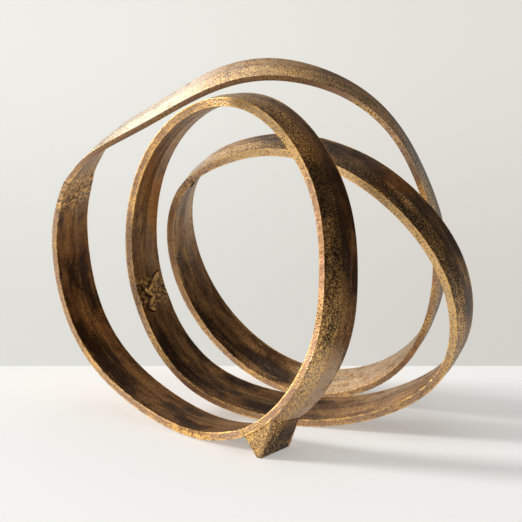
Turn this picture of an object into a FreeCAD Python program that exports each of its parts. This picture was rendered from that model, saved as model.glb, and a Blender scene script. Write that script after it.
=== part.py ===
import FreeCAD, Part
import math
import os

from FreeCAD import Vector

# Cast metal knot: one flat ribbon that runs three times round a level axis and closes on itself.
# It stands on the bottoms of its turns and on a wedge foot. The ribbon is five curved castings,
# butt welded end to end, and the foot is a sixth casting, set under the start of the first one.
# X runs to the right, Y to the back and Z up. Lengths are in millimetres and angles in degrees.
# A turn is an angle along the path: 0 is straight below the axis on the front turn, and it grows
# anticlockwise, seen from the front, up to the end of the third turn.

# Ribbon: both faces rise from the edges to a low ridge along the middle
ribbon_width = 40.0
edge_thickness = 6.5
ridge_rise = 1.1

# Path: how far the ribbon lies from the knot's axis, and how far along it
turn_radius = 170.0
turn_reach = 100.0
axis_swing = 30.0

# Butt welds between the castings, dressed flush: the bevels are a share of half the edge deep
weld_width = 7.0
bevel_depth_share = 0.55

# Wedge foot: the length of its tip as cast, how much is ground off it to make it flat, and how far
# its ends stand back from the ribbon's edges
foot_tip = 3.0
foot_trim = 1.0
foot_inset = 0.4

# Distance from the axis at each hour of a turn, as shares of turn_radius
front_radius_shares = (0.83, 0.72, 0.60, 0.52, 0.53, 0.62, 0.77, 0.83, 0.82, 0.77, 0.76, 0.80)
middle_radius_shares = (0.826, 0.91, 1.01, 0.91, 0.72, 0.57, 0.53, 0.56, 0.65, 0.72, 0.77, 0.81)
rear_radius_shares = (0.828, 0.80, 0.74, 0.69, 0.74, 0.94, 0.97, 0.87, 0.96, 1.05, 1.08, 0.94)

# Place along the axis at the same hours, as shares of turn_reach
front_reach_shares = (-0.72, -0.77, -0.66, -0.52, -0.39, -0.28, -0.19, -0.06, -0.04, -0.13, -0.19, -0.15)
middle_reach_shares = (0.01, 0.22, 0.38, 0.26, 0.16, 0.25, 0.28, 0.28, 0.23, 0.38, 0.56, 0.70)
rear_reach_shares = (0.79, 0.89, 0.85, 0.82, 0.62, 0.10, -0.40, -0.73, -0.76, -0.55, -0.44, -0.55)

# How the ribbon lies at every second hour: the swing of its width to the right of straight back,
# the lift of its back edge, and the thickness of its edges as a share of edge_thickness
width_swings = (43, 46, 45, 35, 31, 29, 28, 25, 31, 30, 24, 27, 22, 19, 8, 5, 37, 38)
width_lifts = (-2, -10, -10, -4, 3, 10, 13, 12, 8, 9, 16, 20, 18, 12, 5, 13, 21, 6)
thickness_shares = (1.05, 1.00, 0.95, 1.15, 1.05, 1.00, 1.00, 1.00, 1.05,
                    1.05, 1.00, 1.00, 0.85, 0.80, 0.75, 0.70, 0.75, 0.90)

# Turns at which the castings are joined, and at which the foot stands
foot_joint_turn = 9.5
left_joint_turn = 290.0
inner_joint_turn = 600.0
right_joint_turn = 815.0
shoulder_joint_turn = 968.0
foot_tip_turn = 17.5
foot_end_turn = 24.0

# The whole path, and the steps in which it is lofted
whole_circle = 360.0
turn_count = 3
section_step = 12.0


def closed_curve(values):
    """Smooth closed curve through the values, spaced evenly over the turns of the path."""
    step = turn_count * whole_circle / len(values)
    places = [i * step for i in range(len(values) + 1)]
    curve = Part.BSplineCurve()
    curve.interpolate(Points=values, PeriodicFlag=True, Parameters=places)
    return curve


def path_points():
    """Centre of the ribbon at each hour, about an axis through the origin."""
    radius_shares = front_radius_shares + middle_radius_shares + rear_radius_shares
    reach_shares = front_reach_shares + middle_reach_shares + rear_reach_shares
    swing = math.radians(axis_swing)
    across = Vector(math.cos(swing), -math.sin(swing), 0)
    along = Vector(math.sin(swing), math.cos(swing), 0)
    up = Vector(0, 0, 1)
    points = []
    for i, (radius_share, reach_share) in enumerate(zip(radius_shares, reach_shares)):
        turn = math.radians(i * turn_count * whole_circle / len(radius_shares))
        spoke = across * math.sin(turn) - up * math.cos(turn)
        points.append(spoke * (radius_share * turn_radius) + along * (reach_share * turn_reach))
    return points


path = closed_curve(path_points())
lay = closed_curve([Vector(*row) for row in zip(width_swings, width_lifts, thickness_shares)])


def on_path(turn):
    """The same turn, inside the one round that the closed curves cover."""
    return turn % (turn_count * whole_circle)


def turn_after(turn, distance):
    """The turn that lies the distance further along the ribbon."""
    return turn + distance / path.getD1(on_path(turn))[1].Length


class Station:
    """The ribbon at one turn: its centre, the way it runs, and the ways its width and outside face."""

    def __init__(self, turn):
        self.centre = path.value(on_path(turn))
        self.ahead = path.tangent(on_path(turn))[0]
        swing, lift, thickness_share = lay.value(on_path(turn))
        swing = math.radians(swing)
        lift = math.radians(lift)
        width = Vector(math.sin(swing) * math.cos(lift), math.cos(swing) * math.cos(lift), math.sin(lift))
        width = width - self.ahead * width.dot(self.ahead)
        self.width = width.normalize()
        self.outward = self.width.cross(self.ahead)
        self.half_edge = thickness_share * edge_thickness / 2

    def point(self, back, out):
        """The point that lies back along the width and out from the centre line."""
        return self.centre + self.width * back + self.outward * out


def section(turn, growth_share=0.0):
    """Outline of the ribbon across its path, grown all round by a share of half its edge."""
    station = Station(turn)
    growth = growth_share * station.half_edge
    half_width = ribbon_width / 2 + growth
    half_edge = station.half_edge + growth
    ridge = half_edge + ridge_rise
    corners = [station.point(-half_width, half_edge), station.point(0, ridge),
               station.point(half_width, half_edge), station.point(half_width, -half_edge),
               station.point(0, -ridge), station.point(-half_width, -half_edge)]
    return Part.makePolygon(corners + corners[:1])


def skin(sections, ruled):
    """Faces of a loft through the sections, without its ends."""
    return Part.makeLoft(sections, False, ruled).Faces


def solid_within(faces):
    """The solid that the faces close."""
    shell = Part.makeShell(faces)
    shell.sewShape()
    solid = Part.makeSolid(shell)
    if solid.Volume < 0:
        solid.reverse()
    return solid


def weld_edges(joint_turn):
    """Turns at the two edges of the weld on a joint."""
    return turn_after(joint_turn, -weld_width / 2), turn_after(joint_turn, weld_width / 2)


def casting(start_joint, end_joint):
    """One casting of the ribbon from joint to joint, each end bevelled all round to its root."""
    start = weld_edges(start_joint)[1]
    end = weld_edges(end_joint)[0]
    count = math.ceil((end - start) / section_step)
    sections = [section(start + (end - start) * i / count) for i in range(count + 1)]
    start_root = section(start_joint, -bevel_depth_share)
    end_root = section(end_joint, -bevel_depth_share)
    faces = skin(sections, False)
    faces += skin([start_root, section(start)], True)
    faces += skin([section(end), end_root], True)
    faces += [Part.Face(start_root), Part.Face(end_root)]
    return solid_within(faces)


def weld(joint_turn):
    """Ring of weld metal in the bevels of two castings."""
    before, after = weld_edges(joint_turn)
    root = section(joint_turn, -bevel_depth_share)
    faces = skin([section(before), section(after)], True)
    faces += skin([section(before), root], True)
    faces += skin([root, section(after)], True)
    return solid_within(faces)


def foot_profile(back, table):
    """Upright outline of the foot at one edge of the ribbon: its top inside the ribbon, its tip below the table."""
    start = Station(weld_edges(foot_joint_turn)[1])
    crest = Station((foot_joint_turn + foot_end_turn) / 2)
    tip = Station(foot_tip_turn)
    end = Station(foot_end_turn)
    left = start.point(back, start.half_edge)
    right = end.point(back, end.half_edge)
    run = Vector(right.x - left.x, right.y - left.y, 0).normalize()
    side = Vector(-run.y, run.x, 0)
    below = tip.point(back, tip.half_edge)
    below.z = table - foot_trim
    corners = [left, below - run * (foot_tip / 2), below + run * (foot_tip / 2), right,
               end.point(back, 0), crest.point(back, 0), start.point(back, 0)]
    upright = [corner + side * (left - corner).dot(side) for corner in corners]
    return Part.makePolygon(upright + upright[:1])


def foot(table, ribbon):
    """Wedge under the start of the first casting, cut to the ribbon that it carries and ground flat."""
    half_width = ribbon_width / 2 - foot_inset
    profiles = [foot_profile(-half_width, table), foot_profile(half_width, table)]
    blank = Part.makeLoft(profiles, True, True)
    tip = Station(foot_tip_turn).centre
    corner = Vector(tip.x - ribbon_width, tip.y - ribbon_width, table - foot_trim)
    ground_off = Part.makeBox(2 * ribbon_width, 2 * ribbon_width, foot_trim, corner)
    pieces = blank.cut(ribbon + [ground_off]).Solids
    return max(pieces, key=lambda piece: piece.Volume)


def box_round(pieces):
    """The box that just holds the pieces."""
    box = FreeCAD.BoundBox()
    for piece in pieces.values():
        box.add(piece.optimalBoundingBox())
    return box


def knot():
    """Every piece by name, standing on the table with the middle of its base at the origin."""
    joints = (foot_joint_turn, left_joint_turn, inner_joint_turn, right_joint_turn, shoulder_joint_turn)
    ends = joints[1:] + (foot_joint_turn + turn_count * whole_circle,)
    casting_names = ("front_turn", "middle_turn", "rear_turn", "top_sweep", "left_sweep")
    weld_names = ("foot_weld", "left_weld", "inner_weld", "right_weld", "shoulder_weld")
    pieces = {name: casting(joint, end) for name, joint, end in zip(casting_names, joints, ends)}
    pieces.update({name: weld(joint) for name, joint in zip(weld_names, joints)})
    table = box_round(pieces).ZMin
    pieces["wedge_foot"] = foot(table, [pieces["front_turn"], pieces["foot_weld"]])
    box = box_round(pieces)
    for piece in pieces.values():
        piece.translate(Vector(-box.Center.x, -box.Center.y, -box.ZMin))
    return pieces


def main():
    os.makedirs("parts", exist_ok=True)
    for name, piece in knot().items():
        piece.exportStep("parts/" + name + ".step")


main()
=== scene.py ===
import logging
import math
from dataclasses import dataclass, field
from enum import Enum
from typing import Any

import bpy
import numpy as np
from mathutils import Matrix, Vector


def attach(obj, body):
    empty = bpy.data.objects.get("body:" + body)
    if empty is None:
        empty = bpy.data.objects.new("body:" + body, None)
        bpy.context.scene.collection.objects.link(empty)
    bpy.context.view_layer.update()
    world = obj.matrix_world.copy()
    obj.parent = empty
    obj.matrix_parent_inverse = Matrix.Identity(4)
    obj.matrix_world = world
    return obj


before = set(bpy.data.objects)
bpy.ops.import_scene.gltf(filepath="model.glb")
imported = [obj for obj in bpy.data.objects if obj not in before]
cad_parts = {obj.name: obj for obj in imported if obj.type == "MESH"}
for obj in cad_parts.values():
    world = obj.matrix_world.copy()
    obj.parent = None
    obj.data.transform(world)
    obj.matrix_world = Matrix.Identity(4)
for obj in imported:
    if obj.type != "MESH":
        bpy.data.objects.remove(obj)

log = logging.getLogger("metal_knot")

Colour = tuple[float, float, float, float]
Place = tuple[float, float, float]
Tones = tuple[tuple[float, float], ...]


class Surface(Enum):
    """The kinds of brass surface on the knot."""

    CAST = "cast"
    FOOT = "foot"
    FOLDED = "folded"


@dataclass(frozen=True)
class Mask:
    """The values at which a mask is empty and full, and its strength where it is full."""

    low: float
    high: float
    strength: float = 1.0


@dataclass(frozen=True)
class Noise:
    """A noise: its features to the metre along, across and out, its finer layers and their weight."""

    scale: Place
    detail: float
    roughness: float


class Socket:
    """A shader value: wraps a socket, and adds Math nodes for the operators used on it."""

    def __init__(self, tree: bpy.types.NodeTree, socket: bpy.types.NodeSocket) -> None:
        """Keep the socket and the tree that it belongs to.

        Args:
            tree: The node tree.
            socket: The output socket that gives the value.
        """
        self.tree = tree
        self.socket = socket

    def math(self, operation: str, *others: "Socket | float", clamp: bool = False) -> "Socket":
        """Add a Math node that works on this value.

        Args:
            operation: The Math node's operation.
            others: The second and third values, as sockets or numbers.
            clamp: Whether the result is kept between 0 and 1.

        Returns:
            The result of the node.
        """
        node = self.tree.nodes.new("ShaderNodeMath")
        node.operation = operation
        node.use_clamp = clamp
        for place, value in zip(node.inputs, (self, *others)):
            if isinstance(value, Socket):
                self.tree.links.new(value.socket, place)
            else:
                place.default_value = value
        return Socket(self.tree, node.outputs[0])

    def __add__(self, other: "Socket | float") -> "Socket":
        """Sum."""
        return self.math("ADD", other)

    def __sub__(self, other: "Socket | float") -> "Socket":
        """Difference."""
        return self.math("SUBTRACT", other)

    def __mul__(self, other: "Socket | float") -> "Socket":
        """Product."""
        return self.math("MULTIPLY", other)

    def __rsub__(self, other: float) -> "Socket":
        """Difference from a number."""
        return self.math("MULTIPLY", -1.0).math("ADD", other)

    __radd__ = __add__
    __rmul__ = __mul__

    def __abs__(self) -> "Socket":
        """Size without sign."""
        return self.math("ABSOLUTE")

    def step(self, low: float, high: float) -> "Socket":
        """Rise smoothly from 0 to 1 as the value goes from low to high, or fall where high is below low.

        Args:
            low: The value at which the result is 0.
            high: The value at which the result is 1.

        Returns:
            The smooth step.
        """
        node = self.tree.nodes.new("ShaderNodeMapRange")
        node.interpolation_type = "SMOOTHSTEP"
        settings = (low, high, 0.0, 1.0) if low < high else (high, low, 1.0, 0.0)
        self.tree.links.new(self.socket, node.inputs["Value"])
        for place, value in zip(("From Min", "From Max", "To Min", "To Max"), settings):
            node.inputs[place].default_value = value
        return Socket(self.tree, node.outputs[0])

    def mask(self, mask: Mask) -> "Socket":
        """Turn the value into a mask.

        Args:
            mask: Where the mask is empty and full, and its strength.

        Returns:
            The mask.
        """
        step = self.step(mask.low, mask.high)
        return step if mask.strength == 1.0 else step * mask.strength


class Shader:
    """Builds one material's nodes."""

    def __init__(self, name: str) -> None:
        """Start a material with only its output node.

        Args:
            name: The material's name.
        """
        self.material = bpy.data.materials.new(name)
        self.material.use_nodes = True
        self.tree = self.material.node_tree
        self.tree.nodes.clear()

    def add(self, kind: str, settings: dict[str, Any] | None = None,
            values: dict[str, Any] | None = None, output: str | int = 0) -> Socket:
        """Add one node.

        Args:
            kind: The node's type.
            settings: Properties of the node, which are set first.
            values: Values or sockets for its inputs, by name.
            output: The output that is wanted.

        Returns:
            The wanted output.
        """
        node = self.tree.nodes.new(kind)
        for name, value in (settings or {}).items():
            setattr(node, name, value)
        for name, value in (values or {}).items():
            place = self.input(node, name)
            if isinstance(value, Socket):
                self.tree.links.new(value.socket, place)
            else:
                place.default_value = value
        outputs = [o for o in node.outputs if o.enabled]
        return Socket(self.tree, node.outputs[output] if isinstance(output, str) else outputs[output])

    @staticmethod
    def input(node: bpy.types.Node, name: str) -> bpy.types.NodeSocket:
        """The node's enabled input of that name.

        Args:
            node: The node.
            name: The input's name.

        Returns:
            The input socket.
        """
        return next(place for place in node.inputs if place.enabled and place.name == name)

    def mix(self, mask: Socket | float, under: Socket | Colour, over: Socket | Colour) -> Socket:
        """Mix two colours.

        Args:
            mask: How much of the second colour shows.
            under: The first colour.
            over: The second colour.

        Returns:
            The mixed colour.
        """
        return self.add("ShaderNodeMix", {"data_type": "RGBA"}, {"Factor": mask, "A": under, "B": over})

    def noise(self, at: Socket, noise: Noise) -> Socket:
        """Noise from 0 to 1 at some coordinates.

        Args:
            at: The coordinates.
            noise: The noise's scale and layers.

        Returns:
            The noise value.
        """
        stretched = self.add("ShaderNodeMapping", None, {"Vector": at, "Scale": noise.scale})
        return self.add("ShaderNodeTexNoise", None, {
            "Vector": stretched, "Scale": 1.0, "Detail": noise.detail, "Roughness": noise.roughness})

    def ramp(self, value: Socket, stops: list[tuple[float, float]]) -> Socket:
        """Read a value off a smooth line.

        Args:
            value: Where to read, from 0 to 1.
            stops: Places on the line, in order, and the line's height at each.

        Returns:
            The height of the line.
        """
        node = self.tree.nodes.new("ShaderNodeValToRGB")
        node.color_ramp.interpolation = "EASE"
        points = node.color_ramp.elements
        points.remove(points[-1])
        points[0].position, points[0].color = stops[0][0], (stops[0][1],) * 3 + (1,)
        for place, height in stops[1:]:
            points.new(place).color = (height,) * 3 + (1,)
        self.tree.links.new(value.socket, node.inputs["Fac"])
        return Socket(self.tree, node.outputs["Color"])

    def finish(self, surface: Socket) -> bpy.types.Material:
        """Join the surface to the material's output.

        Args:
            surface: The surface shader.

        Returns:
            The finished material.
        """
        node = self.tree.nodes.new("ShaderNodeOutputMaterial")
        self.tree.links.new(surface.socket, node.inputs["Surface"])
        return self.material


@dataclass(frozen=True)
class RibbonPath:
    """The ribbon's centre line and lay, at the same hours as its solids.

    Turns are angles along the path in degrees, and whole is all three of them. The path is sampled
    every half degree, and a little past both ends.
    """

    radius: float = 0.170
    reach: float = 0.100
    swing: float = 30.0
    whole: float = 1080.0
    sampling: float = 0.5
    overrun: float = 30.0
    shift: Place = (0.01436, -0.00245, 0.14966)
    radius_shares: tuple[float, ...] = (
        0.83, 0.72, 0.60, 0.52, 0.53, 0.62, 0.77, 0.83, 0.82, 0.77, 0.76, 0.80,
        0.826, 0.91, 1.01, 0.91, 0.72, 0.57, 0.53, 0.56, 0.65, 0.72, 0.77, 0.81,
        0.828, 0.80, 0.74, 0.69, 0.74, 0.94, 0.97, 0.87, 0.96, 1.05, 1.08, 0.94)
    reach_shares: tuple[float, ...] = (
        -0.72, -0.77, -0.66, -0.52, -0.39, -0.28, -0.19, -0.06, -0.04, -0.13, -0.19, -0.15,
        0.01, 0.22, 0.38, 0.26, 0.16, 0.25, 0.28, 0.28, 0.23, 0.38, 0.56, 0.70,
        0.79, 0.89, 0.85, 0.82, 0.62, 0.10, -0.40, -0.73, -0.76, -0.55, -0.44, -0.55)
    swings: tuple[float, ...] = (43, 46, 45, 35, 31, 29, 28, 25, 31, 30, 24, 27, 22, 19, 8, 5, 37, 38)
    lifts: tuple[float, ...] = (-2, -10, -10, -4, 3, 10, 13, 12, 8, 9, 16, 20, 18, 12, 5, 13, 21, 6)

    def smooth(self, values: np.ndarray, turns: np.ndarray) -> np.ndarray:
        """Evaluate the smooth closed curve through evenly spaced values.

        Args:
            values: One row for each value, spaced evenly over the three turns.
            turns: The turns at which the curve is wanted, in degrees.

        Returns:
            One row for each turn.
        """
        count = len(values)
        ahead, behind = np.roll(values, -1, 0), np.roll(values, 1, 0)
        unit = np.eye(count)
        bends = np.linalg.solve(4 * unit + np.roll(unit, 1, 0) + np.roll(unit, -1, 0),
                                6 * (ahead - 2 * values + behind))
        place = turns / self.whole * count
        first = np.floor(place).astype(int)
        after = (place - first)[:, None]
        before = 1 - after
        first, second = first % count, (first + 1) % count
        return (before * values[first] + after * values[second]
                + (before ** 3 - before) * bends[first] / 6 + (after ** 3 - after) * bends[second] / 6)

    def centres(self, turns: np.ndarray) -> np.ndarray:
        """Points of the centre line.

        Args:
            turns: Angles along the path, in degrees.

        Returns:
            One point for each turn, in metres.
        """
        swing = math.radians(self.swing)
        across = np.array((math.cos(swing), -math.sin(swing), 0))
        along = np.array((math.sin(swing), math.cos(swing), 0))
        hours = len(self.radius_shares)
        angles = np.radians(np.arange(hours) * self.whole / hours)[:, None]
        spokes = across * np.sin(angles) - np.array((0, 0, 1)) * np.cos(angles)
        shares = np.array((self.radius_shares, self.reach_shares)).T
        points = spokes * shares[:, :1] * self.radius + along * shares[:, 1:] * self.reach
        return self.smooth(points, turns) + np.array(self.shift)

    def widths(self, turns: np.ndarray) -> np.ndarray:
        """Directions of the ribbon's width, from front to back.

        Args:
            turns: Angles along the path, in degrees.

        Returns:
            One unit vector for each turn.
        """
        swing, lift = np.radians(self.smooth(np.array((self.swings, self.lifts), float).T, turns)).T
        return np.stack((np.sin(swing) * np.cos(lift), np.cos(swing) * np.cos(lift), np.sin(lift)), 1)

    def lengths(self, turns: np.ndarray) -> np.ndarray:
        """Lengths along the ribbon from its first turn.

        Args:
            turns: Angles along the path, in degrees.

        Returns:
            One length for each turn, in metres.
        """
        fine = np.arange(-self.overrun, self.whole + self.overrun, self.sampling)
        runs = np.linalg.norm(np.diff(self.centres(fine), axis=0), axis=1)
        return np.interp(turns, fine[1:], np.cumsum(runs))

    def unrolled(self, points: np.ndarray, first: float, last: float) -> np.ndarray:
        """Where points lie on the ribbon: along it, across it from the middle, and out from it.

        Args:
            points: The points.
            first: Turn before the first of them.
            last: Turn after the last of them.

        Returns:
            Along, across and out for each point, in metres.
        """
        turns = np.arange(first, last, self.sampling)
        centres = self.centres(turns)
        ahead = np.gradient(centres, axis=0)
        ahead = ahead / np.linalg.norm(ahead, axis=1, keepdims=True)
        along = self.lengths(turns)
        widths = self.widths(turns)
        widths = widths - ahead * (widths * ahead).sum(1, keepdims=True)
        widths = widths / np.linalg.norm(widths, axis=1, keepdims=True)
        outward = np.cross(widths, ahead)
        nearest = np.argmin(((points[:, None] - centres[None]) ** 2).sum(2), axis=1)
        offset = points - centres[nearest]
        rest = (offset * ahead[nearest]).sum(1)
        return np.stack((along[nearest] + rest, (offset * widths[nearest]).sum(1),
                         (offset * outward[nearest]).sum(1)), 1)

    def lie(self, turn: float, across: float, out: float) -> Matrix:
        """A frame on the ribbon: X along it, Y across it to the back and Z out of it.

        The frame is left-handed, so what is laid on it is mirrored and needs its normals recalculated.

        Args:
            turn: Angle along the path, in degrees.
            across: Distance from the middle of the ribbon, in metres.
            out: Distance out from its middle, in metres.

        Returns:
            The frame's matrix.
        """
        centres = self.centres(np.array((turn - self.sampling, turn, turn + self.sampling)))
        ahead = Vector(centres[2] - centres[0]).normalized()
        width = Vector(self.widths(np.array((turn,)))[0])
        width = (width - ahead * width.dot(ahead)).normalized()
        outward = width.cross(ahead)
        place = Vector(centres[1]) + width * across + outward * out
        return Matrix.Translation(place) @ Matrix((ahead, width, outward)).transposed().to_4x4()

    def mark(self, piece: bpy.types.Object, first: float, last: float) -> None:
        """Store where each vertex of a piece lies on the ribbon, for the materials.

        Args:
            piece: The piece.
            first: Turn before the first of its vertices.
            last: Turn after the last of its vertices.
        """
        points = np.empty(len(piece.data.vertices) * 3)
        piece.data.vertices.foreach_get("co", points)
        places = self.unrolled(points.reshape(-1, 3), first, last)
        layer = piece.data.attributes.new("ribbon", "FLOAT_VECTOR", "POINT")
        layer.data.foreach_set("vector", places.astype(np.float32).ravel())


@dataclass(frozen=True)
class HammeredPatch:
    """Where the ribbon was hammered down after welding: its turn, how far it spreads and how deep it is."""

    turn: float
    spread: float
    depth: float


@dataclass(frozen=True)
class WearAndLight:
    """The values over one material that its colour, roughness and relief are mixed from.

    Across and out say where a place lies on the ribbon. Outer is 1 on the outside of the ribbon, and
    front is 1 on the half towards its front edge. Tones run from 0 to 1 and hold both the wear and painted
    light and shade, and the mottle is the patches made lighter by them.
    """

    across: Socket
    out: Socket
    grain: Socket
    patches: Socket
    streaks: Socket
    blotches: Socket
    dents: Socket
    hammered: Socket
    pitted: Socket
    outer: Socket
    front: Socket
    outer_tone: Socket
    rim_tone: Socket
    tone: Socket
    mottle: Socket


@dataclass(frozen=True)
class AntiqueBrass:
    """Cast brass, darkened and rubbed back: its colours, and the scales and strengths of its marks.

    Tones pair a turn along the ribbon with a value from 0, darkest, to 1, palest, that holds both the
    patina's wear and painted light and shade. Scales are features to the metre, and other lengths are metres.
    """

    surface: Surface
    path: RibbonPath
    marks: tuple[HammeredPatch, ...] = (
        HammeredPatch(971, 0.032, 1.0), HammeredPatch(291.5, 0.020, 0.7), HammeredPatch(600, 0.012, 0.5),
        HammeredPatch(815, 0.010, 0.4), HammeredPatch(13, 0.014, 0.3))
    hammered_core: float = 0.3
    # Tones: wear of the patina, and painted light and shade. Painted highlight where faces or edges face up,
    # such as the inside of the rear turn's bottom and the top of the front turn's edge; painted reflection on
    # the outside of the top arch; painted shade where edges face down, such as along the top arch.
    inner_tones: Tones = (
        (-5, 0.45), (200, 0.60), (240, 0.50), (280, 0.45), (310, 0.08), (350, 0.06), (374, 0.20),
        (400, 0.60), (430, 0.65), (590, 0.45), (625, 0.58), (655, 0.30), (680, 0.10), (702, 0.20),
        (720, 0.88), (750, 0.85), (790, 0.65), (940, 0.50), (970, 0.80), (984, 0.40), (1008, 0.20),
        (1035, 0.08), (1060, 0.40), (1085, 0.45))
    outer_tones: Tones = (
        (-5, 0.60), (20, 0.75), (50, 0.85), (72, 0.35), (100, 0.18), (140, 0.16), (165, 0.55),
        (195, 0.85), (430, 0.50), (460, 0.22), (485, 0.05), (515, 0.05), (545, 0.38), (575, 0.70),
        (597, 0.98), (625, 0.60), (790, 0.30), (840, 0.30), (870, 0.60), (900, 0.78), (925, 0.95),
        (950, 1.00), (1085, 0.60))
    rim_tones: Tones = (
        (-5, 0.45), (50, 0.25), (75, 0.12), (125, 0.15), (165, 0.85), (215, 0.70), (260, 0.45),
        (330, 0.35), (400, 0.50), (450, 0.90), (560, 0.90), (594, 0.35), (640, 0.20), (690, 0.45),
        (740, 0.55), (800, 0.60), (865, 0.45), (890, 0.08), (940, 0.15), (975, 0.45), (1085, 0.45))
    first_turn: float = -20.0
    last_turn: float = 1100.0

    shadow: Colour = (0.024, 0.009, 0.003, 1)
    brown: Colour = (0.140, 0.057, 0.018, 1)
    bronze: Colour = (0.40, 0.205, 0.072, 1)
    # Rubbed patina and painted sheen, laid where the tone is high.
    worn_and_sheen: Colour = (0.52, 0.38, 0.25, 1)
    gold: Colour = (0.98, 0.60, 0.20, 1)
    tan: Colour = (0.50, 0.31, 0.19, 1)
    # Edge colour where the edge tone is high: rubbed brass and painted highlight.
    pale: Colour = (0.96, 0.66, 0.30, 1)
    # Painted reflection: a pale glare laid on the outside where its tone is palest.
    painted_glare: Colour = (0.88, 0.79, 0.64, 1)

    grain: Noise = Noise((720, 720, 720), 1.5, 0.6)
    blotches: Noise = Noise((150, 150, 150), 3.0, 0.6)
    waves: Noise = Noise((34, 34, 34), 2.0, 0.5)
    patches: Noise = Noise((22, 55, 55), 4.0, 0.65)
    streaks: Noise = Noise((13, 120, 120), 4.0, 0.6)
    dents: Noise = Noise((330, 210, 210), 5.0, 0.72)
    pit_scale: float = 430.0

    # Where a place lies on the ribbon: across it from the middle, or out from it
    rim: Mask = Mask(0.0196, 0.0199)
    face_corner: Mask = Mask(0.0186, 0.0198)
    rim_corner_across: Mask = Mask(0.0190, 0.0199)
    rim_corner_out: Mask = Mask(0.0017, 0.0027)
    outside: Mask = Mask(-0.0005, 0.0005)
    front_half: Mask = Mask(0.0006, -0.0006)
    crease_middle: float = 0.0006
    crease: Mask = Mask(0.0022, 0.0004, 0.8)
    # Painted shade: the foot is darker on all but its front face, the side turned from the light.
    foot_painted_shade: Mask = Mask(-0.018, -0.008, 0.70)
    # On the folds: dark patina and painted shade at their foot, rubbed gold and painted highlight on their
    # crests.
    fold_foot: Mask = Mask(-0.0058, -0.0047)
    fold_crest: Mask = Mask(-0.0057, -0.0064)

    # How far the patina is rubbed pale, and where light and shade are painted
    # Painted sheen: the back half of the inner faces is made paler, where light from above falls.
    back_sheen: float = 0.20
    middle_tone: float = 0.5
    tone_in_mottle: float = 0.22
    # Rubbed patina and painted sheen.
    worn_and_sheen_tone: Mask = Mask(0.50, 0.95)
    # Painted reflection: where the pale glare is laid.
    glare_tone: Mask = Mask(0.82, 1.0)
    speckled_tone: Mask = Mask(0.05, 0.45, 0.50)
    coated_tone: Mask = Mask(0.70, 1.0, 0.55)
    # Edges: pale with painted highlight and rubbed brass where the edge tone is high, brown with painted
    # shade and patina where it is low.
    pale_rim_tone: Mask = Mask(0.50, 1.0, 0.7)
    dark_rim_tone: Mask = Mask(0.50, 0.0, 0.9)
    # Gold corners: rubbed brass and painted highlight.
    gold_corner_tone: Mask = Mask(0.0, 0.50)

    # Levels of the noises
    pits: Mask = Mask(0.40, 0.10)
    pitted_patches: Mask = Mask(0.34, 0.62)
    hammered_pits: Mask = Mask(0.48, 0.40)
    hammered_gold: Mask = Mask(0.51, 0.58, 0.9)
    brown_mottle: Mask = Mask(0.34, 0.58)
    bronze_mottle: Mask = Mask(0.42, 0.60)
    mottle_in_bronze: float = 0.6
    bronze_least: float = 0.30
    bronze_by_tone: float = 0.60
    worn_and_sheen_blotches: Mask = Mask(0.30, 0.55, 0.75)
    glare_blotches: Mask = Mask(0.30, 0.46, 0.85)
    crease_streaks: Mask = Mask(0.35, 0.6)
    rim_gold: Mask = Mask(0.44, 0.66, 0.65)
    rim_specks: Mask = Mask(0.50, 0.40)
    rim_specks_most: float = 0.65
    rim_specks_by_tone: float = 0.30
    corner_blotches: Mask = Mask(0.40, 0.58, 0.9)
    crest_blotches: Mask = Mask(0.34, 0.48, 0.55)
    pit_darkness: float = 0.8
    sandy_grain: Mask = Mask(0.52, 0.55)
    sandy_mottle: Mask = Mask(0.35, 0.60, 0.65)
    sandy_least: float = 0.35
    sandy_elsewhere: float = 0.18
    brushed_streaks: Mask = Mask(0.48, 0.70)
    brushed_grain: Mask = Mask(0.40, 0.60)
    brushed_most: float = 0.34
    brushed_less_in_front: float = 0.20
    outer_rubbing: float = 0.50
    inner_rubbing: float = 0.30
    inner_rubbing_by_tone: float = 0.90

    # Heights of the relief
    grain_height: float = 0.00034
    pit_depth: float = 0.00030
    blotch_height: float = 0.0006
    dent_height: float = 0.0017
    wave_height: float = 0.0026
    streak_height: float = 0.00016
    relief_strength: float = 0.9
    corner_radius: float = 0.0009
    corner_samples: int = 4

    metal: float = 0.88
    roughness: float = 0.38
    patch_roughness: float = 0.20
    pit_roughness: float = 0.15
    rubbed_smoothness: float = 0.14
    glare_smoothness: float = 0.10
    coat: float = 0.10
    coat_roughness: float = 0.25

    def build(self) -> bpy.types.Material:
        """Build the material.

        Returns:
            The finished material.
        """
        shader = Shader(f"antique_brass_{self.surface.value}")
        at = shader.add("ShaderNodeAttribute", {"attribute_name": "ribbon"}, output="Vector")
        wear = self.wear(shader, at)
        rubbed = self.rubbed(wear)
        # Painted reflection: the pale glare on the outside where its tone is palest; the brass is also made
        # smoother there.
        glare = wear.outer * wear.outer_tone.mask(self.glare_tone) * wear.blotches.mask(self.glare_blotches)
        roughness = (self.roughness + wear.patches * self.patch_roughness - rubbed * self.rubbed_smoothness
                     + wear.pitted * self.pit_roughness - glare * self.glare_smoothness)
        return shader.finish(shader.add("ShaderNodeBsdfPrincipled", None, {
            "Base Color": self.colour(shader, wear, rubbed, glare), "Metallic": self.metal,
            "Roughness": roughness, "Normal": self.relief(shader, at, wear),
            "Coat Weight": self.coat + wear.outer * wear.outer_tone.mask(self.coated_tone),
            "Coat Roughness": self.coat_roughness}))

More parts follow.
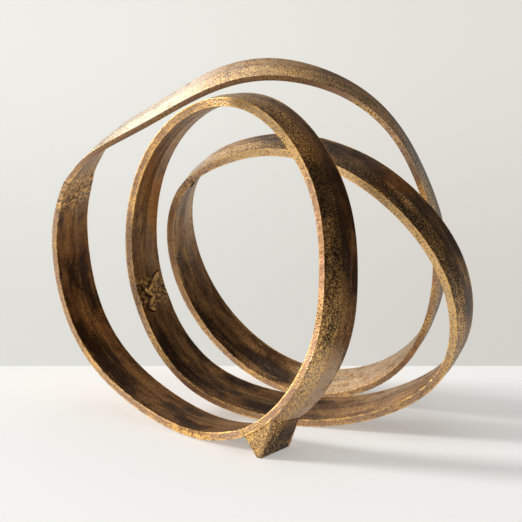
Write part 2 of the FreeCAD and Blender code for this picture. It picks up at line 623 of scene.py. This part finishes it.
    def wear(self, shader: Shader, at: Socket) -> WearAndLight:
        """Work out the values that the material is mixed from.

        Args:
            shader: The material that is being built.
            at: Place on the ribbon: along, across and out.

        Returns:
            The values.
        """
        along, across, out = (shader.add("ShaderNodeSeparateXYZ", None, {"Vector": at}, output=axis)
                              for axis in "XYZ")
        patches = shader.noise(at, self.patches)
        dents = shader.noise(at, self.dents)
        pits = shader.add("ShaderNodeTexVoronoi", None, {"Vector": at, "Scale": self.pit_scale})
        hammered = self.hammered(along)
        pitted = (pits.mask(self.pits) * patches.mask(self.pitted_patches)
                  + hammered * dents.mask(self.hammered_pits))
        outer = out.mask(self.outside)
        front = across.mask(self.front_half)
        inner_tone, outer_tone, rim_tone = (
            self.tone(shader, along, tones) for tones in (self.inner_tones, self.outer_tones, self.rim_tones))
        # The back half of the inner faces gets painted sheen on top of the tones.
        tone = (inner_tone * (1.0 - outer) + outer_tone * outer
                + (1.0 - front) * (1.0 - outer) * self.back_sheen)
        if self.surface is Surface.FOOT:
            # Painted shade: the foot is darkened on all but its front face.
            tone = tone - across.mask(self.foot_painted_shade)
        return WearAndLight(
            across=across, out=out, grain=shader.noise(at, self.grain), patches=patches,
            streaks=shader.noise(at, self.streaks), blotches=shader.noise(at, self.blotches), dents=dents,
            hammered=hammered, pitted=pitted.math("MINIMUM", 1.0), outer=outer, front=front,
            outer_tone=outer_tone, rim_tone=rim_tone, tone=tone,
            mottle=patches + (tone - self.middle_tone) * self.tone_in_mottle)

    def colour(self, shader: Shader, wear: WearAndLight, rubbed: Socket, glare: Socket) -> Socket:
        """Lay the colours of the faces, the edges and the corners over one another.

        Args:
            shader: The material that is being built.
            wear: The values that it is mixed from.
            rubbed: Where the brown is rubbed back to gold.
            glare: Where a pale reflection is painted on the outside, where its tone is palest.

        Returns:
            The colour.
        """
        edge = abs(wear.across).mask(self.rim)
        colour = shader.mix(edge, self.face(shader, wear, rubbed, glare), self.edge(shader, wear))
        # Gold along the corners: partly rubbed brass and partly painted highlight.
        corner = self.corner(wear, edge) * wear.blotches.mask(self.corner_blotches)
        colour = shader.mix(corner * wear.rim_tone.mask(self.gold_corner_tone), colour, self.gold)
        colour = shader.mix(wear.pitted * self.pit_darkness, colour, self.shadow)
        if self.surface is Surface.FOLDED:
            # Dark patina and painted shade at the folds' foot, rubbed gold and painted highlight on their
            # crests.
            colour = shader.mix(wear.out.mask(self.fold_foot), colour, self.shadow)
            crest = wear.out.mask(self.fold_crest) * wear.blotches.mask(self.crest_blotches)
            colour = shader.mix(crest, colour, self.gold)
        return colour

    def face(self, shader: Shader, wear: WearAndLight, rubbed: Socket, glare: Socket) -> Socket:
        """Colour of the ribbon's faces.

        Args:
            shader: The material that is being built.
            wear: The values that it is mixed from.
            rubbed: Where the brown is rubbed back to gold.
            glare: Where a pale reflection is painted on the outside, where its tone is palest.

        Returns:
            The colour.
        """
        bronze = wear.mottle * self.mottle_in_bronze + wear.streaks * (1 - self.mottle_in_bronze)
        bronze = bronze.mask(self.bronze_mottle) * (self.bronze_least + self.bronze_by_tone * wear.tone)
        crease = (abs(wear.across - self.crease_middle).mask(self.crease) * (1.0 - wear.outer)
                  * wear.streaks.mask(self.crease_streaks))
        colour = shader.mix(wear.mottle.mask(self.brown_mottle), self.shadow, self.brown)
        for mask, over in (
                (bronze, self.bronze),
                # Pale greyish bronze where the tone is high: rubbed patina and painted sheen.
                (wear.tone.mask(self.worn_and_sheen_tone) * wear.blotches.mask(self.worn_and_sheen_blotches), self.worn_and_sheen),
                # Painted reflection: the pale glare.
                (glare, self.painted_glare),
                (crease, self.shadow),
                (rubbed, self.gold),
                (wear.hammered * wear.dents.mask(self.hammered_gold), self.gold)):
            colour = shader.mix(mask, colour, over)
        return colour

    def edge(self, shader: Shader, wear: WearAndLight) -> Socket:
        """Colour of the ribbon's edges.

        Args:
            shader: The material that is being built.
            wear: The values that it is mixed from.

        Returns:
            The colour.
        """
        specks = (wear.grain.mask(self.rim_specks)
                  * (self.rim_specks_most - wear.rim_tone * self.rim_specks_by_tone))
        colour = shader.mix(wear.patches.mask(self.rim_gold), self.tan, self.gold)
        # Painted highlight with rubbed brass where the edge tone is high.
        colour = shader.mix(wear.rim_tone.mask(self.pale_rim_tone), colour, self.pale)
        # Brown specks of patina, and brown painted shade and patina where the edge tone is low.
        return shader.mix(specks.math("MAXIMUM", wear.rim_tone.mask(self.dark_rim_tone)), colour, self.brown)

    def corner(self, wear: WearAndLight, edge: Socket) -> Socket:
        """Where the corners are rubbed to gold and carry a painted highlight, on the faces and on the edges.

        Args:
            wear: The values that the material is mixed from.
            edge: 1 on the ribbon's edges.

        Returns:
            A mask, 1 at the corners.
        """
        on_face = abs(wear.across).mask(self.face_corner) * (1.0 - edge)
        on_edge = abs(wear.out).mask(self.rim_corner_out) * abs(wear.across).mask(self.rim_corner_across)
        return on_face.math("MAXIMUM", edge * on_edge)

    def relief(self, shader: Shader, at: Socket, wear: WearAndLight) -> Socket:
        """Grain, pits, dents and waves of the skin, and rounded corners.

        Args:
            shader: The material that is being built.
            at: Place on the ribbon: along, across and out.
            wear: The values that the material is mixed from.

        Returns:
            The shading normal.
        """
        height = (wear.grain * self.grain_height - wear.pitted * self.pit_depth
                  + wear.blotches * self.blotch_height + wear.dents * wear.hammered * self.dent_height
                  + shader.noise(at, self.waves) * self.wave_height + wear.streaks * self.streak_height)
        rounded = shader.add("ShaderNodeBevel", {"samples": self.corner_samples},
                             {"Radius": self.corner_radius})
        return shader.add("ShaderNodeBump", None, {"Strength": self.relief_strength, "Distance": 1.0,
                                                   "Height": height, "Normal": rounded})

    def tone(self, shader: Shader, along: Socket, tones: Tones) -> Socket:
        """How far the patina is rubbed pale, with painted light and shade, from 0 where it is darkest to 1
        where it is palest.

        Args:
            shader: The material that is being built.
            along: Distance along the ribbon.
            tones: Turns along one side of the ribbon, and the tone at each, wear and painted light together.

        Returns:
            The tone at each place on that side, wear and painted light together.
        """
        ends = self.path.lengths(np.array((self.first_turn, self.last_turn)))
        first, last = float(ends[0]), float(ends[1])
        lengths = self.path.lengths(np.array([turn for turn, _ in tones]))
        places = (lengths - first) / (last - first)
        return shader.ramp((along - first) * (1 / (last - first)),
                           [(float(place), wear) for place, (_, wear) in zip(places, tones)])

    def hammered(self, along: Socket) -> Socket:
        """How strongly the surface is hammered near the joints.

        Args:
            along: Distance along the ribbon.

        Returns:
            A mask, 1 where it is hammered most.
        """
        middles = self.path.lengths(np.array([patch.turn for patch in self.marks]))
        fades = [Mask(patch.spread, patch.spread * self.hammered_core, patch.depth) for patch in self.marks]
        masks = [abs(along - float(middle)).mask(fade) for middle, fade in zip(middles, fades)]
        whole = masks[0]
        for mask in masks[1:]:
            whole = whole.math("MAXIMUM", mask)
        return whole

    def rubbed(self, wear: WearAndLight) -> Socket:
        """How far the brown is rubbed back to gold: sandy on the front of the outside, brushed elsewhere.

        Args:
            wear: The values that the material is mixed from.

        Returns:
            A mask, 1 where the brass is bare.
        """
        facing = wear.outer * wear.front
        sandy = wear.grain.mask(self.sandy_grain) * (self.sandy_least + wear.mottle.mask(self.sandy_mottle))
        brushed = wear.streaks.mask(self.brushed_streaks) * wear.grain.mask(self.brushed_grain)
        bare = (sandy * (self.sandy_elsewhere + (1 - self.sandy_elsewhere) * facing)
                + brushed * (self.brushed_most - self.brushed_less_in_front * facing)).math("MINIMUM", 1.0)
        return bare * (wear.outer * (self.outer_rubbing + wear.outer_tone.mask(self.speckled_tone))
                       + (1.0 - wear.outer) * (self.inner_rubbing + self.inner_rubbing_by_tone * wear.tone))


@dataclass(frozen=True)
class PaleBoard:
    """The table top, and the paler grey that shows behind its rear edge.

    The grey turns with the line of sight from the camera, whose setback from the origin is given. It is
    painted light: lighter to the left and further back, darker to the right, as the light falls on the
    backdrop.
    """

    top: Colour = (0.86, 0.855, 0.835, 1)
    top_glow: Colour = (0.72, 0.717, 0.70, 1)
    behind_left: Colour = (0.750, 0.745, 0.705, 1)
    behind_right: Colour = (0.660, 0.640, 0.595, 1)
    rear_edge: float = 0.145
    edge_blur: float = 0.001
    camera_setback: float = 1.6
    side_slope: float = 0.15
    far: Mask = Mask(0.55, 0.24, 0.16)
    own_glow: float = 0.10
    glow_strength: float = 1.4

    def build(self) -> bpy.types.Material:
        """Build the material.

        Returns:
            The finished material.
        """
        shader = Shader("pale_board")
        at = shader.add("ShaderNodeTexCoord", output="Object")
        side = shader.add("ShaderNodeSeparateXYZ", None, {"Vector": at}, output="X")
        depth = shader.add("ShaderNodeSeparateXYZ", None, {"Vector": at}, output="Y")
        nearness = (depth + self.camera_setback).math("POWER", -1.0)
        rightward = (side * nearness).step(-self.side_slope, self.side_slope)
        # Painted light on the backdrop: lighter to the left, darker to the right.
        wall = shader.mix(rightward, self.behind_left, self.behind_right)
        behind = depth.step(self.rear_edge - self.edge_blur, self.rear_edge + self.edge_blur)
        board = shader.add("ShaderNodeBsdfDiffuse", None, {"Color": self.top})
        # The backdrop's glow is painted brighter further back.
        glow = shader.add("ShaderNodeEmission", None, {
            "Color": shader.mix(behind, self.top_glow, wall),
            "Strength": (1.0 - behind) * self.glow_strength + behind * (1.0 + nearness.mask(self.far))})
        seen = shader.add("ShaderNodeLightPath", output="Is Camera Ray")
        mirrored = shader.add("ShaderNodeLightPath", output="Is Glossy Ray")
        mask = (behind + self.own_glow * (1.0 - behind)) * seen.math("MAXIMUM", mirrored)
        return shader.finish(self.layered(shader, mask, board, glow))

    @staticmethod
    def layered(shader: Shader, mask: Socket, under: Socket, over: Socket) -> Socket:
        """Lay one shader over another.

        Args:
            shader: The material that is being built.
            mask: How much of the upper shader shows.
            under: The lower shader.
            over: The upper shader.

        Returns:
            The layered surface.
        """
        node = shader.tree.nodes.new("ShaderNodeMixShader")
        for place, value in zip(node.inputs, (mask, under, over)):
            shader.tree.links.new(value.socket, place)
        return Socket(shader.tree, node.outputs[0])


@dataclass
class Knot:
    """The knot's castings, welds and foot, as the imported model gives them.

    Spans are the turns between which each of them lies, with a few degrees to spare.
    """

    path: RibbonPath = field(default_factory=RibbonPath)
    spans: dict[str, tuple[float, float]] = field(default_factory=lambda: {
        "front_turn": (-2, 295), "middle_turn": (285, 605), "rear_turn": (595, 820),
        "top_sweep": (810, 973), "left_sweep": (963, 1088), "foot_weld": (-2, 8),
        "left_weld": (285, 295), "inner_weld": (595, 605), "right_weld": (810, 820),
        "shoulder_weld": (963, 973), "wedge_foot": (-2, 30)})

    def dress(self, nodes: dict[str, bpy.types.Object]) -> None:
        """Give every node its place on the ribbon and its material.

        Args:
            nodes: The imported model's objects, by name.
        """
        cast = AntiqueBrass(Surface.CAST, self.path).build()
        foot = AntiqueBrass(Surface.FOOT, self.path).build()
        for name, piece in nodes.items():
            self.path.mark(piece, *self.spans[name])
            piece.data.materials.clear()
            piece.data.materials.append(foot if name == "wedge_foot" else cast)
            log.info("dressed %s", name)


@dataclass(frozen=True)
class Lump:
    """One lump of metal that was folded or dripped on the ribbon and hammered flat."""

    name: str
    turn: float
    across: float
    length: float
    width: float
    height: float
    skew: float


@dataclass
class FoldedMetal:
    """Metal left on the ribbon's inside at its welds.

    Depth is how far in from the middle of the ribbon the lumps are centred, and reach is the turn
    to either side in which they lie. The folds have their own scale, and a share of the height.
    """

    path: RibbonPath = field(default_factory=RibbonPath)
    depth: float = 0.0033
    reach: float = 12.0
    segments: int = 48
    rings: int = 24
    fold_scale: float = 0.0060
    fold_layers: int = 2
    fold_share: float = 0.5
    lumps: tuple[Lump, ...] = (
        Lump("left_fold_ridge", 288.2, 0.0020, 0.0056, 0.0350, 0.0040, 34.0),
        Lump("left_fold_back", 291.8, -0.0070, 0.0048, 0.0210, 0.0040, -46.0),
        Lump("left_fold_flap", 295.0, -0.0065, 0.0048, 0.0210, 0.0037, 36.0),
        Lump("left_fold_end", 298.2, -0.0095, 0.0044, 0.0130, 0.0033, -30.0),
        Lump("inner_bead", 600.3, -0.0135, 0.0060, 0.0120, 0.0018, -8.0))

    def build(self) -> None:
        """Build every lump and let it ride with the knot."""
        finish = AntiqueBrass(Surface.FOLDED, self.path).build()
        for lump in self.lumps:
            piece = self.model(lump)
            piece.data.materials.append(finish)
            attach(piece, "root")
            log.info("added %s", lump.name)

    def model(self, lump: Lump) -> bpy.types.Object:
        """Model one lump, low and uneven, sunk a little into the ribbon's inner face.

        Args:
            lump: The lump's place and sizes.

        Returns:
            The finished piece.
        """
        bpy.ops.mesh.primitive_uv_sphere_add(segments=self.segments, ring_count=self.rings, radius=0.5)
        piece = bpy.context.object
        piece.name = lump.name
        bpy.ops.object.mode_set(mode="EDIT")
        bpy.ops.transform.resize(value=(lump.length, lump.width, lump.height * 2))
        bpy.ops.mesh.subdivide(number_cuts=1)
        bpy.ops.object.mode_set(mode="OBJECT")
        folds = bpy.data.textures.new(lump.name, "CLOUDS")
        folds.noise_scale = self.fold_scale
        folds.noise_depth = self.fold_layers
        push = piece.modifiers.new("folds", "DISPLACE")
        push.texture = folds
        push.texture_coords = "LOCAL"
        push.strength = lump.height * self.fold_share
        push.mid_level = 0.5
        bpy.ops.object.modifier_apply(modifier=push.name)
        bpy.ops.object.shade_smooth()
        skew = Matrix.Rotation(math.radians(lump.skew), 4, "Z")
        piece.data.transform(self.path.lie(lump.turn, lump.across, -self.depth) @ skew)
        bpy.ops.object.mode_set(mode="EDIT")
        bpy.ops.mesh.select_all(action="SELECT")
        bpy.ops.mesh.normals_make_consistent(inside=False)
        bpy.ops.object.mode_set(mode="OBJECT")
        self.path.mark(piece, lump.turn - self.reach, lump.turn + self.reach)
        piece.select_set(False)
        return piece


@dataclass(frozen=True)
class SoftLamp:
    """A square lamp that points at the knot."""

    name: str
    place: Place
    size: float
    power: float


@dataclass
class Studio:
    """Pale board, soft light from the left and the camera at the photograph's angle."""

    look_at: Place = (0.00137, 0.00505, 0.14071)
    camera_distance: float = 1.653
    camera_pitch: float = 14.6
    lens: float = 131.0
    board_size: float = 9.0
    key_strength: float = 3.6
    key_breadth: float = 15.0
    key_direction: Place = (0.94, -0.17, -0.30)
    lamp_aim: Place = (0, 0, 0.15)
    lamps: tuple[SoftLamp, ...] = (SoftLamp("fill", (-1.3, -1.1, 1.1), 0.9, 9.0),
                                   SoftLamp("overhead", (0.1, 0.2, 1.7), 1.3, 9.0),
                                   SoftLamp("window", (-1.5, 2.2, 2.0), 2.4, 30.0))
    world_colour: Colour = (1.0, 0.94, 0.87, 1)
    world_strength: float = 0.19
    camera_clip: float = 20.0

    def build(self) -> None:
        """Build the stage, the lights and the camera."""
        self.board()
        self.key()
        self.soft_lamps()
        self.world()
        self.camera()

    def board(self) -> None:
        """Lay the board under the knot."""
        bpy.ops.mesh.primitive_plane_add(size=self.board_size)
        board = bpy.context.object
        board.name = "board"
        board.data.materials.append(PaleBoard().build())
        log.info("laid the board")

    def key(self) -> None:
        """Low sun-like key from the left, a little behind the knot."""
        bpy.ops.object.light_add(type="SUN")
        lamp = bpy.context.object
        lamp.name = "key"
        lamp.data.energy = self.key_strength
        lamp.data.angle = math.radians(self.key_breadth)
        lamp.rotation_euler = Vector(self.key_direction).to_track_quat("-Z", "Y").to_euler()

    def soft_lamps(self) -> None:
        """Broad soft lamps in front, overhead and behind, without shadows of their own."""
        for soft in self.lamps:
            bpy.ops.object.light_add(type="AREA", location=soft.place)
            lamp = bpy.context.object
            lamp.name = soft.name
            lamp.data.shape = "SQUARE"
            lamp.data.size = soft.size
            lamp.data.energy = soft.power
            lamp.data.use_shadow = False
            lamp.rotation_euler = (Vector(self.lamp_aim) - lamp.location).to_track_quat("-Z", "Y").to_euler()

    def world(self) -> None:
        """Even pale surroundings."""
        world = bpy.data.worlds.new("pale_room")
        bpy.context.scene.world = world
        world.use_nodes = True
        back = world.node_tree.nodes["Background"]
        back.inputs["Color"].default_value = self.world_colour
        back.inputs["Strength"].default_value = self.world_strength

    def camera(self) -> None:
        """Set the camera where the photograph was taken from."""
        pitch = math.radians(self.camera_pitch)
        back = Vector((0, -math.cos(pitch), math.sin(pitch)))
        bpy.ops.object.camera_add(location=Vector(self.look_at) + back * self.camera_distance,
                                  rotation=(math.pi / 2 - pitch, 0, 0))
        camera = bpy.context.object
        camera.data.lens = self.lens
        camera.data.clip_end = self.camera_clip
        bpy.context.scene.camera = camera


def main() -> None:
    """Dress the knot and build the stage."""
    logging.basicConfig(level=logging.INFO)
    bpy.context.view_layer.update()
    bpy.ops.object.select_all(action="DESELECT")
    Knot().dress(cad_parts)
    FoldedMetal().build()
    Studio().build()
    bpy.context.scene.view_settings.view_transform = "Standard"


if __name__ == "__main__":
    main()
